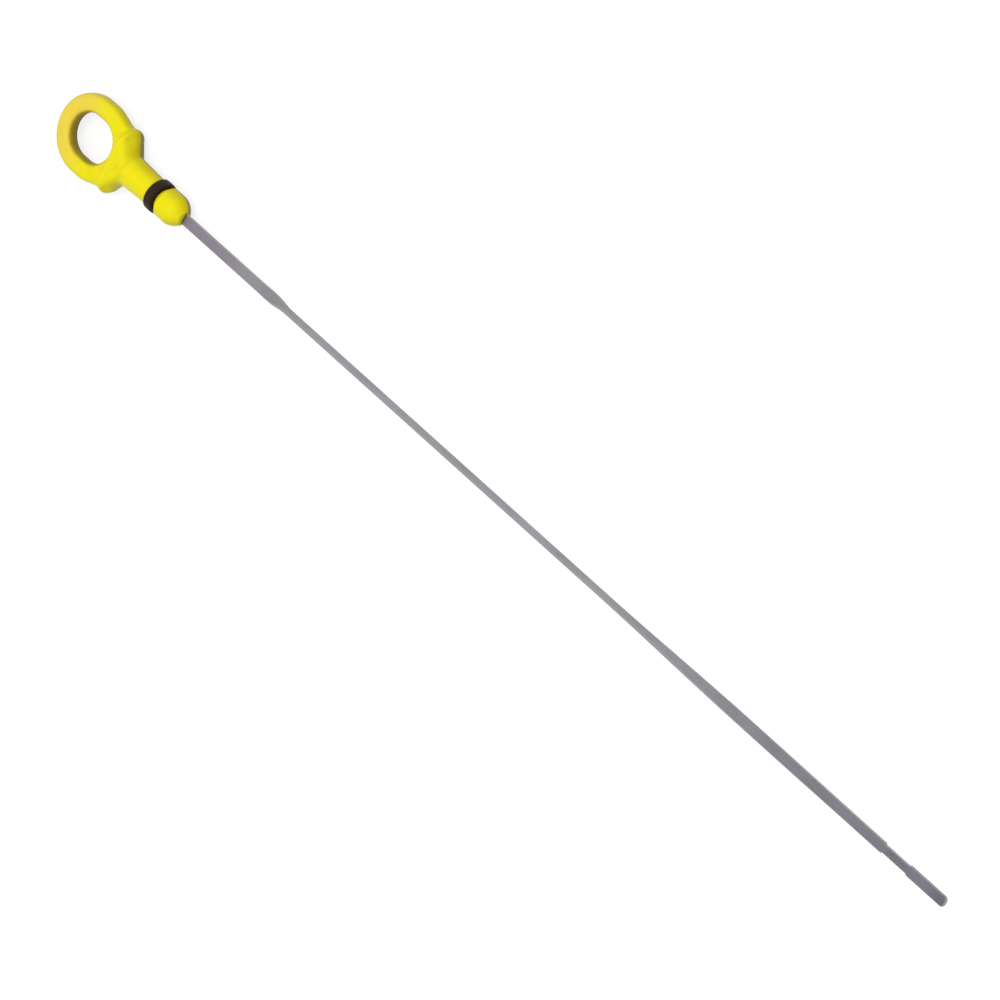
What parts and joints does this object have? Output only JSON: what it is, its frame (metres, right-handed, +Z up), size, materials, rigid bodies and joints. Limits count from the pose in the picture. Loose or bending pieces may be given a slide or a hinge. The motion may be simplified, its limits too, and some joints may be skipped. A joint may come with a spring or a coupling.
{
  "type": "engine oil dipstick",
  "caption": "Engine oil dipstick with a yellow moulded ring handle, a black rubber seal ring on its plug and a long twisted steel gauge blade with level marks, lying flat.",
  "frame": {"origin": "on the stick's axis, where the guiding land of the plug starts, on the seal's side", "axes": "+X along the stick towards the tip of the blade, +Z up from the surface that the dipstick lies on, +Y across the finger ring"},
  "size_m": [0.4999, 0.0314, 0.014],
  "materials": {
    "yellow_plastic": "semi-gloss moulded",
    "black_rubber": "moulded, lightly oiled",
    "spring_steel": "satin, rolled strip"
  },
  "bodies": {
    "root": {"pull_handle": "yellow_plastic", "seal_ring": "black_rubber", "gauge_blade": "spring_steel"}
  },
  "joints": []
}
